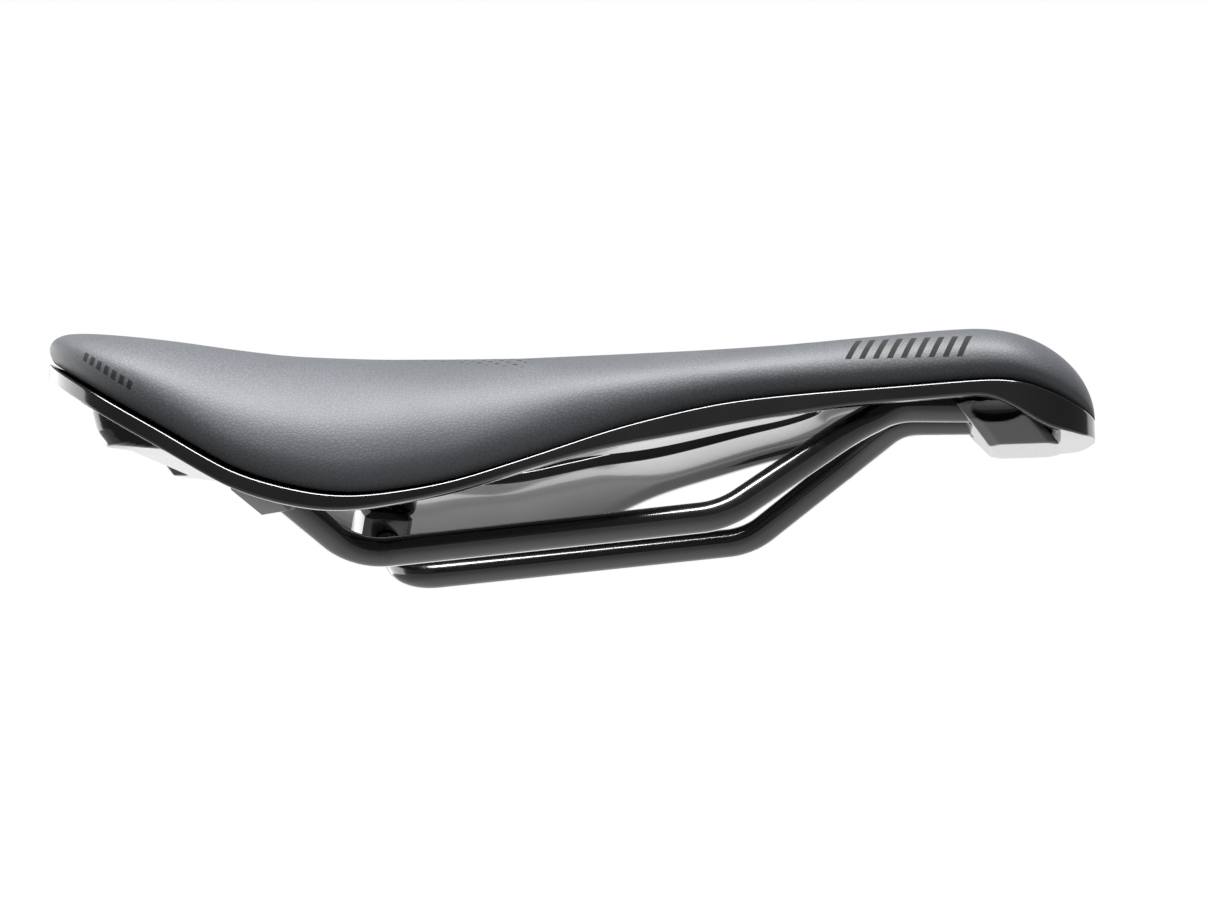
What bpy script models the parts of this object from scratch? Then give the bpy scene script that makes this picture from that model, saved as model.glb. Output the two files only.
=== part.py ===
"""Short-nose bicycle saddle: cover skin, foam pad, base shell, two rails, their sockets and the tail mount.

Metres, +Z up, +X towards the nose and +Y towards the rider's left. The origin lies midway between the
two rails, at the middle of their straight clamp stretch. The saddle stands level, as it is ridden.
"""
import math

import bmesh
import bpy
from mathutils import Matrix, Vector

# Driving dimensions
LENGTH = 0.240
TAIL_X = -0.108
NOSE_X = TAIL_X + LENGTH
GAP = 0.0003                  # clearance between pieces that touch on the real saddle

# Plan outline
TAIL_HALF_WIDTH = 0.030       # straight part of the tail edge
TAIL_CORNER = 0.035           # length of the rounded tail corner
NOSE_ROUND = 0.020            # length of the rounded nose end
NOTCH_DEPTH = 0.007           # scoop in the middle of the tail edge
NOTCH_HALF_WIDTH = 0.026
NOTCH_FADE = 0.055
HALF_WIDTHS = ((-0.073, 0.0715), (-0.063, 0.0715), (-0.048, 0.070), (-0.028, 0.063), (0.000, 0.0475),
               (0.032, 0.0335), (0.062, 0.0265), (0.112, 0.0215), (0.132, 0.0210))

# Side profile: crest of the padding, lower edge of the cover, and height of the shell's flank
CREST = ((-0.108, 0.0518), (-0.080, 0.0486), (-0.040, 0.0449), (0.000, 0.0442), (0.040, 0.0451),
         (0.080, 0.0476), (0.104, 0.0488), (0.132, 0.0488))
RIM = ((-0.108, 0.0425), (-0.092, 0.0333), (-0.068, 0.0196), (-0.046, 0.0080), (-0.029, 0.0049),
       (-0.012, 0.0080), (0.006, 0.0148), (0.030, 0.0242), (0.055, 0.0300), (0.090, 0.0327),
       (0.112, 0.0338), (0.1195, 0.0321), (0.132, 0.0270))
FLANK = ((-0.108, 0.0045), (-0.040, 0.0043), (-0.012, 0.0030), (0.010, 0.0032), (0.045, 0.0058),
         (0.085, 0.0040), (0.110, 0.0040), (0.118, 0.0090), (0.124, 0.0088), (0.132, 0.0050))
TAIL_ROLL = 0.009             # length over which the padding rolls down to the tail edge
NOSE_ROLL = 0.028             # the same at the nose
ROLL_EDGE = 0.004             # height of the widest point above the cover's lower edge
TUCK = 0.0014                 # how far the cover's lower edge turns in
CROWN_POWER = 2.5             # sideways roundness of the padding

COVER_THICKNESS = 0.0015
FOAM_INSET = 0.0020           # from the cover's outside to the foam
FOAM_LIFT = 0.0004            # the foam's edge above the cover's lower edge
FOAM_CLEAR = 0.0012           # room between the foam's underside and the shell's curved top
STATIONS = 34                 # cross-sections along the length
COLUMNS = 8                   # faces from the widest point up to the crest

# Base shell
SHELL_INSET = 0.0002
EDGE_GAP = 0.0005             # between the shell's ledge and the cover's edge on it
SHELL_WALL = 0.0024
SHELL_POWER = 3.0             # sideways roundness of the shell's dome
SHELF = 0.0034                # flat ledge that carries the cover's edge
LIP = 0.0026                  # width of the lip along the lower edge
LIP_BLEND = 0.0030
LIP_STEP = 0.0012             # how far the underside stands back behind the lip
SHELL_RISE = ((-0.104, 0.0), (-0.095, 0.0045), (-0.060, 0.0130), (-0.030, 0.0160), (0.000, 0.0095),
              (0.030, 0.0035), (0.060, 0.0030), (0.080, 0.0045), (0.095, 0.0062), (0.112, 0.0055),
              (0.127, 0.0))
UNDERSIDE_RISE = ((-0.104, 0.0), (-0.098, 0.0015), (-0.060, 0.0145), (-0.030, 0.0180), (0.000, 0.0100),
                  (0.014, 0.0052), (0.030, 0.0022), (0.060, 0.0022), (0.080, 0.0062), (0.095, 0.0078),
                  (0.110, 0.0072), (0.119, 0.0), (0.132, 0.0))

# Pressure-relief slot, between a wide rear circle and a narrow front one
SLOT_REAR_X = -0.042
SLOT_REAR_RADIUS = 0.0130
SLOT_FRONT_X = 0.066
SLOT_FRONT_RADIUS = 0.0045

# Rails
RAIL_RADIUS = 0.0035
RAIL_HALF_SPACING = 0.022
CLAMP_PITCH = math.radians(4.6)
CLAMP_REAR_X = -0.038
CLAMP_FRONT_X = 0.0485
CLAMP_TAN = math.tan(CLAMP_PITCH)
RAIL_ROUTE = (((-0.0537, 0.0455, 0.0126), 0.0),
              ((CLAMP_REAR_X, RAIL_HALF_SPACING, CLAMP_REAR_X * CLAMP_TAN), 0.013),
              ((CLAMP_FRONT_X, RAIL_HALF_SPACING, CLAMP_FRONT_X * CLAMP_TAN), 0.018),
              ((0.0770, 0.0150, 0.0240), 0.030),
              ((0.0868, 0.0088, 0.0300), 0.012),
              ((0.1100, 0.0078, 0.0292), 0.0))

# Nose bridge: lies in the shell's nose and takes the front ends of both rails
BRIDGE_LEVELS = ((0.0202, 0.0100), (0.0255, 0.0162), (0.0294, 0.0165), (0.0302, 0.0125), (0.0352, 0.0118))
BRIDGE_REAR_X = 0.1080
BRIDGE_REAR_LEAN = -0.79
BRIDGE_FRONT_X = 0.1240
BRIDGE_FRONT_LEAN = -0.93
ROOM_BELOW = 0.004            # how far the room cut for the bridge runs out below it
DIMPLE_CENTRE = (0.1112, 0.0182, 0.0276)
DIMPLE_RADII = (0.0052, 0.0030, 0.0026)

# Rear rail sockets
SOCKET_LENGTH = 0.0130
SOCKET_WIDTH = 0.0130
SOCKET_HEIGHT = 0.0130
SOCKET_LIFT = 0.0016          # how far the block sits above the rail's axis

# Accessory mount under the tail
MOUNT_HALF_WIDTH = 0.0260
MOUNT_PAD_HALF_WIDTH = 0.0185
MOUNT_FREE_HALF_WIDTH = 0.0060   # middle of the pad, between the screw heads
MOUNT_PAD_LOW = Vector((-0.0965, 0.0, 0.0243))
MOUNT_PAD_HIGH = Vector((-0.1000, 0.0, 0.0363))
MOUNT_CHEEK = ((-0.1015, 0.0248), (-0.1046, 0.0286), (-0.1060, 0.0330), (-0.1062, 0.0400))
MOUNT_FRONT = ((-0.0780, 0.0400), (-0.0860, 0.0232))
SCREW_HALF_SPACING = 0.0120
SCREW_RISE = 0.0052           # screw axis above the lower edge of the pad
INSERT_RADIUS = 0.0031
INSERT_BORE = 0.0022
INSERT_LENGTH = 0.0045
SCREW_RADIUS = 0.0019
SCREW_LENGTH = 0.0040
HEAD_RADIUS = 0.0032
HEAD_HEIGHT = 0.0022
HEX_RADIUS = 0.00145          # corner radius of the hexagon socket
HEX_DEPTH = 0.0013

CLEAR = "cutter_"


# ---------------------------------------------------------------- small helpers

def clear_scene():
    for item in list(bpy.data.objects):
        bpy.data.objects.remove(item, do_unlink=True)


def material(name, colour, roughness, metallic=0.0):
    made = bpy.data.materials.new(name)
    made.use_nodes = True
    shader = made.node_tree.nodes["Principled BSDF"]
    shader.inputs["Base Color"].default_value = (*colour, 1.0)
    shader.inputs["Roughness"].default_value = roughness
    shader.inputs["Metallic"].default_value = metallic
    return made


def add_object(name, mesh_data, finish=None):
    made = bpy.data.objects.new(name, mesh_data)
    bpy.context.scene.collection.objects.link(made)
    if finish:
        made.data.materials.append(finish)
    return made


def mesh_from(bm, name, smooth_angle=35.0):
    """Closes the mesh's doubles, turns its faces outwards and shades it."""
    bmesh.ops.remove_doubles(bm, verts=bm.verts, dist=0.00002)
    bmesh.ops.dissolve_degenerate(bm, edges=bm.edges, dist=0.00001)
    bmesh.ops.recalc_face_normals(bm, faces=bm.faces)
    made = bpy.data.meshes.new(name)
    bm.to_mesh(made)
    bm.free()
    made.shade_smooth()
    made.set_sharp_from_angle(angle=math.radians(smooth_angle))
    return made


def make_cutter(made):
    made.hide_render = True
    made.display_type = "WIRE"
    return made


def cut(target, cutter):
    change = target.modifiers.new("cut_" + cutter.name, "BOOLEAN")
    change.operation = "DIFFERENCE"
    change.solver = "EXACT"
    change.object = cutter


def curve_value(points, x):
    """Height at x of the smooth curve through the points, without overshoot between them."""
    if x <= points[0][0]:
        return points[0][1]
    if x >= points[-1][0]:
        return points[-1][1]
    rises = [(b[1] - a[1]) / (b[0] - a[0]) for a, b in zip(points, points[1:])]
    slopes = [rises[0]]
    for before, after in zip(rises, rises[1:]):
        same_way = before * after > 0
        slopes.append(2 * before * after / (before + after) if same_way else 0.0)
    slopes.append(rises[-1])
    i = max(k for k in range(len(points) - 1) if points[k][0] <= x)
    width = points[i + 1][0] - points[i][0]
    t = (x - points[i][0]) / width
    start, end = points[i][1], points[i + 1][1]
    return (start * (2 * t ** 3 - 3 * t ** 2 + 1) + end * (3 * t ** 2 - 2 * t ** 3)
            + width * slopes[i] * (t ** 3 - 2 * t ** 2 + t) + width * slopes[i + 1] * (t ** 3 - t ** 2))


def quarter_round(distance, length):
    """Rises from 0 to 1 along a quarter ellipse."""
    t = min(max(distance / length, 0.0), 1.0)
    return math.sqrt(1.0 - (1.0 - t) ** 2)


def smooth_step(value, start, end):
    t = min(max((value - start) / (end - start), 0.0), 1.0)
    return t * t * (3 - 2 * t)


# ---------------------------------------------------------------- the saddle's outer form

def half_width(x):
    body = curve_value(HALF_WIDTHS, x)
    corner = quarter_round(x - TAIL_X, TAIL_CORNER)
    at_tail = TAIL_HALF_WIDTH + (body - TAIL_HALF_WIDTH) * corner
    return at_tail * quarter_round(NOSE_X - x, NOSE_ROUND)


def rim_height(x):
    return curve_value(RIM, x)


def crest_height(x):
    """Top of the padding on the centre line, rolled down at both ends."""
    rim = rim_height(x)
    at_tail = rim + (curve_value(CREST, x) - rim) * quarter_round(x - TAIL_X, TAIL_ROLL)
    if x < NOSE_X - NOSE_ROLL:
        return at_tail
    tip = RIM[-1][1]
    rolled = tip + (at_tail - tip) * quarter_round(NOSE_X - x, NOSE_ROLL)
    return max(rolled, rim)


def tail_scoop(x, y):
    """Forward shift that cuts the notch into the middle of the tail."""
    across = math.cos(0.5 * math.pi * min(abs(y) / NOTCH_HALF_WIDTH, 1.0)) ** 2
    return NOTCH_DEPTH * across * (1.0 - smooth_step(x, TAIL_X, TAIL_X + NOTCH_FADE))


def shell_rise(x, y):
    """How far the shell's top stands above its edge, at a point in from the ledge."""
    reach = max(half_width(x) - SHELF, 0.001)
    across = max(1.0 - (abs(y) / reach) ** SHELL_POWER, 0.0)
    return curve_value(SHELL_RISE, x) * across


def stations(inset):
    """Places along the length, closer together towards both ends."""
    length = LENGTH - 2 * inset
    return [TAIL_X + inset + length * (0.5 - 0.5 * math.cos(math.pi * i / STATIONS)) ** 0.9
            for i in range(STATIONS + 1)]


def crown_row(x, inset, lift):
    """Points of the padding's outline across the saddle at x, from the right edge to the left one."""
    shift = inset / max(LENGTH, inset)
    whole_x = TAIL_X + (x - TAIL_X - inset) / (1.0 - 2 * shift)
    width = max(half_width(whole_x) - inset, 0.0)
    rim = rim_height(x) + lift
    height = max(crest_height(whole_x) - inset - rim, 0.0)
    tuck = TUCK * min(height / 0.008, 1.0) * min(width / 0.010, 1.0)
    edge = min(ROLL_EDGE, 0.3 * height)
    side = [(width - tuck, rim), (width - 0.25 * tuck, rim + 0.5 * edge)]
    arch = []
    for k in range(COLUMNS + 1):
        angle = 0.5 * math.pi * (1.0 - k / COLUMNS)
        arch.append((width * math.sin(angle) ** (2 / CROWN_POWER),
                     rim + edge + (height - edge) * math.cos(angle)))
    half = side + arch
    left = half[:-1]
    return [(-y, z) for y, z in half] + [(y, z) for y, z in reversed(left)]


def grid_faces(bm, rows):
    """Adds a sheet of faces over rows of points and returns its vertices."""
    sheet = [[bm.verts.new(point) for point in row] for row in rows]
    for row, following in zip(sheet, sheet[1:]):
        for j in range(len(row) - 1):
            bm.faces.new((row[j], row[j + 1], following[j + 1], following[j]))
    return sheet


def border(sheet):
    """The outer loop of a sheet's vertices, in order."""
    right = [row[0] for row in sheet]
    left = [row[-1] for row in reversed(sheet)]
    return right + sheet[-1][1:-1] + left + list(reversed(sheet[0][1:-1]))


def join_borders(bm, first, second):
    a, b = border(first), border(second)
    for k in range(len(a)):
        following = (k + 1) % len(a)
        bm.faces.new((a[k], a[following], b[following], b[k]))


def crown_rows(inset, lift=0.0):
    rows = []
    for x in stations(inset):
        rows.append([(x + tail_scoop(x, y), y, z) for y, z in crown_row(x, inset, lift)])
    return rows


# ---------------------------------------------------------------- padding, cover and shell

def build_cover(finish, cutter):
    """Moulded skin over the padding, open below, with the relief slot through it."""
    bm = bmesh.new()
    outer = grid_faces(bm, crown_rows(0.0))
    inner = grid_faces(bm, crown_rows(COVER_THICKNESS))
    join_borders(bm, outer, inner)
    made = add_object("cover", mesh_from(bm, "cover"), finish)
    cut(made, cutter)
    return made


def build_foam(finish, cutter):
    """Padding between the cover and the shell's top."""
    top = crown_rows(FOAM_INSET, FOAM_LIFT)
    bottom = []
    for x, row in zip(stations(FOAM_INSET), top):
        edge = abs(row[0][1])
        line = []
        for _, y, _ in row:
            y = max(-edge, min(edge, y))
            rise = shell_rise(x, y)
            height = rim_height(x) + FOAM_LIFT + rise + FOAM_CLEAR * min(rise / 0.001, 1.0)
            line.append((x + tail_scoop(x, y), y, height))
        bottom.append(line)
    bm = bmesh.new()
    join_borders(bm, grid_faces(bm, top), grid_faces(bm, bottom))
    made = add_object("foam_pad", mesh_from(bm, "foam_pad"), finish)
    cut(made, cutter)
    return made


def shell_sections(x, grow):
    """Top and bottom outlines of the base shell at x, grown by a clearance."""
    width = max(half_width(x) - SHELL_INSET, 0.0) + grow
    rim = rim_height(x) - EDGE_GAP + grow
    low = rim_height(x) - curve_value(FLANK, x) - grow
    lip = min(LIP, 0.25 * width)
    blend = min(LIP + LIP_BLEND, 0.5 * width)
    inner = width - blend
    places = [width, width - lip, inner, 0.8 * inner, 0.6 * inner, 0.4 * inner, 0.2 * inner, 0.0]
    top, bottom = [], []
    for y in places:
        ceiling = rim + shell_rise(x, y)
        raised = low + curve_value(UNDERSIDE_RISE, x) * (1.0 - (y / max(width, 0.001)) ** SHELL_POWER)
        raised += min(LIP_STEP, curve_value(UNDERSIDE_RISE, x))
        roof = min(raised, ceiling - SHELL_WALL - 2 * grow)
        roof = max(roof, low)
        step = smooth_step(width - lip - y, 0.0, max(blend - lip, 0.0001))
        top.append((y, ceiling))
        bottom.append((y, low + (roof - low) * step))
    return top, bottom


def mirrored(half):
    return [(-y, z) for y, z in half] + [(y, z) for y, z in reversed(half[:-1])]


def shell_mesh(name, grow=0.0, headroom=0.0):
    """The base shell, or with headroom the room that it and all above it take."""
    top_rows, bottom_rows = [], []
    for x in stations(SHELL_INSET - grow):
        top, bottom = shell_sections(x, grow)
        top_rows.append([(x + tail_scoop(x, y), y, z + headroom) for y, z in mirrored(top)])
        bottom_rows.append([(x + tail_scoop(x, y), y, z) for y, z in mirrored(bottom)])
    bm = bmesh.new()
    join_borders(bm, grid_faces(bm, top_rows), grid_faces(bm, bottom_rows))
    return mesh_from(bm, name)


def slot_outline(grow):
    """Two arcs and the straight lines that touch both."""
    rear, front = SLOT_REAR_RADIUS + grow, SLOT_FRONT_RADIUS + grow
    tilt = math.asin((rear - front) / (SLOT_FRONT_X - SLOT_REAR_X))
    start = 0.5 * math.pi - tilt
    points = []
    for k in range(11):
        angle = start + (2 * math.pi - 2 * start) * k / 10
        points.append((SLOT_REAR_X + rear * math.cos(angle), rear * math.sin(angle)))
    for k in range(7):
        angle = -start + 2 * start * k / 6
        points.append((SLOT_FRONT_X + front * math.cos(angle), front * math.sin(angle)))
    return points


def build_slot_cutter(name, grow):
    bm = bmesh.new()
    low = [bm.verts.new((x, y, -0.02)) for x, y in slot_outline(grow)]
    high = [bm.verts.new((x, y, 0.07)) for x, y in slot_outline(grow)]
    bm.faces.new(low)
    bm.faces.new(high)
    for k in range(len(low)):
        following = (k + 1) % len(low)
        bm.faces.new((low[k], low[following], high[following], high[k]))
    return make_cutter(add_object(CLEAR + name, mesh_from(bm, name)))


# ---------------------------------------------------------------- rails

def rounded_route(route, turns):
    """Points along straight runs whose corners are arcs of the given radii."""
    points = [Vector(route[0][0])]
    for (before, _), (corner, radius), (after, _) in zip(route, route[1:], route[2:]):
        corner = Vector(corner)
        back = (Vector(before) - corner).normalized()
        ahead = (Vector(after) - corner).normalized()
        half_angle = 0.5 * back.angle(ahead)
        start = corner + back * radius / math.tan(half_angle)
        centre = corner + (back + ahead).normalized() * radius / math.sin(half_angle)
        axis = (start - centre).cross(ahead).normalized()
        sweep = math.pi - 2 * half_angle
        for k in range(turns + 1):
            turn = Matrix.Rotation(sweep * k / turns, 3, axis)
            points.append(centre + turn @ (start - centre))
    points.append(Vector(route[-1][0]))
    return points


def rail_points(side):
    return [Vector((p.x, p.y * side, p.z)) for p in rounded_route(RAIL_ROUTE, 6)]


def build_tube(name, points, radius, finish=None, resolution=4):
    data = bpy.data.curves.new(name, "CURVE")
    data.dimensions = "3D"
    data.bevel_depth = radius
    data.bevel_resolution = resolution
    data.use_fill_caps = True
    spline = data.splines.new("POLY")
    spline.points.add(len(points) - 1)
    for place, point in zip(spline.points, points):
        place.co = (*point, 1.0)
    return add_object(name, data, finish)


def build_bore(name, points):
    """Straight cutter along a rail's end run, a clearance wider than the rail."""
    start, end = points
    run = end - start
    bm = bmesh.new()
    bmesh.ops.create_cone(bm, cap_ends=True, segments=16, radius1=RAIL_RADIUS + GAP,
                          radius2=RAIL_RADIUS + GAP, depth=run.length)
    turn = run.to_track_quat("Z", "Y").to_matrix().to_4x4()
    bm.transform(Matrix.Translation((start + end) / 2) @ turn)
    return make_cutter(add_object(CLEAR + name, mesh_from(bm, name)))


# ---------------------------------------------------------------- sockets

def bridge_mesh(name, grow):
    bm = bmesh.new()
    rings = []
    levels = list(BRIDGE_LEVELS)
    if grow:
        (base, base_width), (above, above_width) = levels[:2]
        spread = (above_width - base_width) / (above - base)
        levels[0] = (base - ROOM_BELOW, base_width - spread * ROOM_BELOW)
    for k, (z, width) in enumerate(levels):
        lift = z - BRIDGE_LEVELS[0][0]
        z += grow if k == len(levels) - 1 else 0.0
        rear = BRIDGE_REAR_X + BRIDGE_REAR_LEAN * lift - 1.5 * grow
        front = BRIDGE_FRONT_X + BRIDGE_FRONT_LEAN * lift + 1.5 * grow
        width += grow
        corner = 0.0025
        outline = ((rear, -width + corner), (rear + corner, -width), (front - corner, -width),
                   (front, -width + corner), (front, width - corner), (front - corner, width),
                   (rear + corner, width), (rear, width - corner))
        rings.append([bm.verts.new((x, y, z)) for x, y in outline])
    bm.faces.new(rings[0])
    bm.faces.new(rings[-1])
    for ring, above in zip(rings, rings[1:]):
        for k in range(8):
            following = (k + 1) % 8
            bm.faces.new((ring[k], ring[following], above[following], above[k]))
    return mesh_from(bm, name)


def build_dimple(side):
    bm = bmesh.new()
    bmesh.ops.create_uvsphere(bm, u_segments=16, v_segments=8, radius=1.0)
    x, y, z = DIMPLE_CENTRE
    bm.transform(Matrix.Translation((x, y * side, z)) @ Matrix.Diagonal((*DIMPLE_RADII, 1.0)))
    return make_cutter(add_object(f"{CLEAR}dimple_{side}", mesh_from(bm, "dimple")))


def build_rear_socket(name, side, finish, shell_clearance, bore):
    end, bend = rail_points(side)[0], rail_points(side)[1]
    run = (bend - end).normalized()
    up = (Vector((0, 0, 1)) - run * run.z).normalized()
    across = up.cross(run)
    turn = Matrix((run, across, up)).transposed().to_4x4()
    centre = end + run * (0.5 * SOCKET_LENGTH - 0.0035) + up * SOCKET_LIFT
    bm = bmesh.new()
    bmesh.ops.create_cube(bm, size=1.0)
    bm.transform(Matrix.Diagonal((SOCKET_LENGTH, SOCKET_WIDTH, SOCKET_HEIGHT, 1.0)))
    bmesh.ops.bevel(bm, geom=bm.edges, offset=0.0015, segments=1, affect="EDGES")
    bm.transform(Matrix.Translation(centre) @ turn)
    made = add_object(name, mesh_from(bm, name, 20.0), finish)
    cut(made, shell_clearance)
    cut(made, bore)
    return made


# ---------------------------------------------------------------- accessory mount

def mount_frame(side):
    """Frame of one screw: its Z axis points out of the pad, its origin lies on the pad's face."""
    up = (MOUNT_PAD_HIGH - MOUNT_PAD_LOW).normalized()
    out = Vector((0, 1, 0)).cross(up) * -1
    centre = MOUNT_PAD_LOW + up * SCREW_RISE + Vector((0, SCREW_HALF_SPACING * side, 0))
    across = up.cross(out)
    return Matrix.Translation(centre) @ Matrix((across, up, out)).transposed().to_4x4()


def mount_profile(y):
    """Side outline of the mount block at one distance from the centre."""
    rear = MOUNT_CHEEK
    if abs(y) <= MOUNT_PAD_HALF_WIDTH:
        rear = []
        for k in range(4):
            point = MOUNT_PAD_LOW.lerp(MOUNT_PAD_HIGH, k / 3)
            rear.append((point.x, point.z))
    return list(MOUNT_FRONT) + list(rear)


def build_accessory_mount(finish, shell_clearance, seats):
    bm = bmesh.new()
    rings = []
    cheek = MOUNT_PAD_HALF_WIDTH + 0.0020
    half = (MOUNT_FREE_HALF_WIDTH, MOUNT_PAD_HALF_WIDTH, cheek, MOUNT_HALF_WIDTH)
    for y in [-y for y in reversed(half)] + list(half):
        rings.append([bm.verts.new((x, y, z)) for x, z in mount_profile(y)])
    bm.faces.new(rings[0])
    bm.faces.new(rings[-1])
    for ring, following in zip(rings, rings[1:]):
        for k in range(len(ring)):
            other = (k + 1) % len(ring)
            bm.faces.new((ring[k], ring[other], following[other], following[k]))
    made = add_object("accessory_mount", mesh_from(bm, "accessory_mount", 20.0), finish)
    cut(made, shell_clearance)
    for seat in seats:
        cut(made, seat)
    return made


def turned(bm, profile, segments=20):
    """Closed body of revolution about Z from (radius, height) points."""
    rings = []
    for radius, height in profile:
        rings.append([bm.verts.new((radius * math.cos(2 * math.pi * k / segments),
                                    radius * math.sin(2 * math.pi * k / segments), height))
                      for k in range(segments)])
    return rings


def band(bm, low, high):
    for k in range(len(low)):
        following = (k + 1) % len(low)
        bm.faces.new((low[k], low[following], high[following], high[k]))


def build_insert(name, frame, finish):
    bm = bmesh.new()
    rings = turned(bm, ((INSERT_BORE, -INSERT_LENGTH), (INSERT_RADIUS, -INSERT_LENGTH),
                        (INSERT_RADIUS, -GAP), (INSERT_BORE, -GAP)))
    for low, high in zip(rings, rings[1:] + rings[:1]):
        band(bm, low, high)
    made = add_object(name, mesh_from(bm, name), finish)
    made.matrix_world = frame
    return made


def build_insert_seat(name, frame):
    bm = bmesh.new()
    rings = turned(bm, ((INSERT_RADIUS + GAP, -INSERT_LENGTH - GAP), (INSERT_RADIUS + GAP, 0.002)))
    bm.faces.new(rings[0])
    bm.faces.new(rings[1])
    band(bm, rings[0], rings[1])
    made = make_cutter(add_object(CLEAR + name, mesh_from(bm, name)))
    made.matrix_world = frame
    return made


def build_screw(name, frame, finish):
    """Button-head screw that closes an unused insert."""
    bm = bmesh.new()
    dome = [(HEAD_RADIUS * math.cos(a), GAP + 0.0007 + (HEAD_HEIGHT - 0.0007) * math.sin(a))
            for a in (0.0, 0.5, 0.95)]
    rings = turned(bm, [(SCREW_RADIUS, -SCREW_LENGTH), (SCREW_RADIUS, GAP), (HEAD_RADIUS, GAP)] + dome)
    bm.faces.new(rings[0])
    for low, high in zip(rings, rings[1:]):
        band(bm, low, high)
    top = dome[-1][1]
    rim_of_socket = [bm.verts.new((HEX_RADIUS * math.cos(math.pi * k / 3),
                                   HEX_RADIUS * math.sin(math.pi * k / 3), top)) for k in range(6)]
    floor = [bm.verts.new((vert.co.x, vert.co.y, top - HEX_DEPTH)) for vert in rim_of_socket]
    band(bm, rim_of_socket, floor)
    bm.faces.new(floor)
    ends = [bm.edges.get((ring[k], ring[(k + 1) % len(ring)]))
            for ring in (rings[-1], rim_of_socket) for k in range(len(ring))]
    bmesh.ops.bridge_loops(bm, edges=ends)
    made = add_object(name, mesh_from(bm, name), finish)
    made.matrix_world = frame
    return made


# ---------------------------------------------------------------- assembly

def build_saddle():
    clear_scene()
    leather = material("cover_leather", (0.030, 0.031, 0.034), 0.55)
    foam = material("foam", (0.060, 0.060, 0.062), 0.90)
    plastic = material("shell_plastic", (0.012, 0.012, 0.013), 0.22)
    mount_plastic = material("mount_plastic", (0.013, 0.013, 0.014), 0.22)
    bridge_plastic = material("bridge_plastic", (0.015, 0.015, 0.016), 0.25)
    tube = material("rail_paint", (0.010, 0.010, 0.011), 0.20, 0.4)
    brass = material("insert_brass", (0.55, 0.40, 0.16), 0.35, 1.0)
    steel = material("screw_steel", (0.05, 0.05, 0.05), 0.40, 1.0)

    slot = build_slot_cutter("slot", 0.0)
    shell_slot = build_slot_cutter("shell_slot", -0.0015)
    build_cover(leather, slot)
    build_foam(foam, slot)

    shell = add_object("base_shell", shell_mesh("base_shell"), plastic)
    cut(shell, shell_slot)
    cut(shell, make_cutter(add_object(CLEAR + "bridge", bridge_mesh("bridge_room", GAP))))
    clearance = make_cutter(add_object(CLEAR + "shell", shell_mesh("shell_room", GAP, 0.06)))

    bridge = add_object("nose_bridge", bridge_mesh("nose_bridge", 0.0), bridge_plastic)
    for side, word in ((1, "left"), (-1, "right")):
        points = rail_points(side)
        build_tube("rail_" + word, points, RAIL_RADIUS, tube)
        beyond = (points[-1] - points[-2]).normalized() * 0.001
        cut(bridge, build_bore("front_bore_" + word, (points[-2], points[-1] + beyond)))
        cut(bridge, build_dimple(side))
        beyond = (points[0] - points[1]).normalized() * 0.001
        bore = build_bore("rear_bore_" + word, (points[1], points[0] + beyond))
        build_rear_socket("rear_socket_" + word, side, bridge_plastic, clearance, bore)

    seats = []
    for side, word in ((1, "left"), (-1, "right")):
        frame = mount_frame(side)
        build_insert("insert_" + word, frame, brass)
        build_screw("screw_" + word, frame, steel)
        seats.append(build_insert_seat("seat_" + word, frame))
    build_accessory_mount(mount_plastic, clearance, seats)


build_saddle()
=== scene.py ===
import math

import bpy
from mathutils import Matrix, Vector


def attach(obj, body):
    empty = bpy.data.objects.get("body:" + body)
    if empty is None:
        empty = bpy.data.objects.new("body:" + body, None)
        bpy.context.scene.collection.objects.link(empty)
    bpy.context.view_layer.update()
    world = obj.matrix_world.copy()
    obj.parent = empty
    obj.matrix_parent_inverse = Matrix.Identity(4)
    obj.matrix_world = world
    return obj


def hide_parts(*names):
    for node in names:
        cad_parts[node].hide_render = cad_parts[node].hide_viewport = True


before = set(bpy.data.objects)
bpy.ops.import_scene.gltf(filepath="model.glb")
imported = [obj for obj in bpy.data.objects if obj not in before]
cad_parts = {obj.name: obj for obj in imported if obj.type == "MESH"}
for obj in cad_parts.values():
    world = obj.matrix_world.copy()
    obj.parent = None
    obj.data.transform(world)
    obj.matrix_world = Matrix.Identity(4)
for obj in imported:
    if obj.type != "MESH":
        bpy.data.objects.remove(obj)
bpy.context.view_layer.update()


# ================================================================ base shell
# The gloss black nylon shell that carries everything else. It is injection moulded in one piece, as long as
# the saddle, with a ledge for the cover's edge, a deep flank under the nose and the relief slot through it.

TAIL_X, NOSE_X = -0.108, 0.132
LENGTH = NOSE_X - TAIL_X
TAIL_HALF_WIDTH = 0.030
TAIL_CORNER = 0.035
NOSE_ROUND = 0.020
NOTCH_DEPTH, NOTCH_HALF_WIDTH, NOTCH_FADE = 0.007, 0.026, 0.055
HALF_WIDTHS = ((-0.073, 0.0715), (-0.063, 0.0715), (-0.048, 0.070), (-0.028, 0.063), (0.000, 0.0475),
               (0.032, 0.0335), (0.062, 0.0265), (0.112, 0.0215), (0.132, 0.0210))
RIM = ((-0.108, 0.0425), (-0.092, 0.0333), (-0.068, 0.0196), (-0.046, 0.0080), (-0.029, 0.0049),
       (-0.012, 0.0080), (0.006, 0.0148), (0.030, 0.0242), (0.055, 0.0300), (0.090, 0.0327),
       (0.112, 0.0338), (0.1195, 0.0321), (0.132, 0.0270))
FLANK = ((-0.108, 0.0045), (-0.040, 0.0043), (-0.012, 0.0030), (0.010, 0.0032), (0.045, 0.0058),
         (0.085, 0.0040), (0.110, 0.0040), (0.118, 0.0090), (0.124, 0.0088), (0.132, 0.0050))
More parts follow.
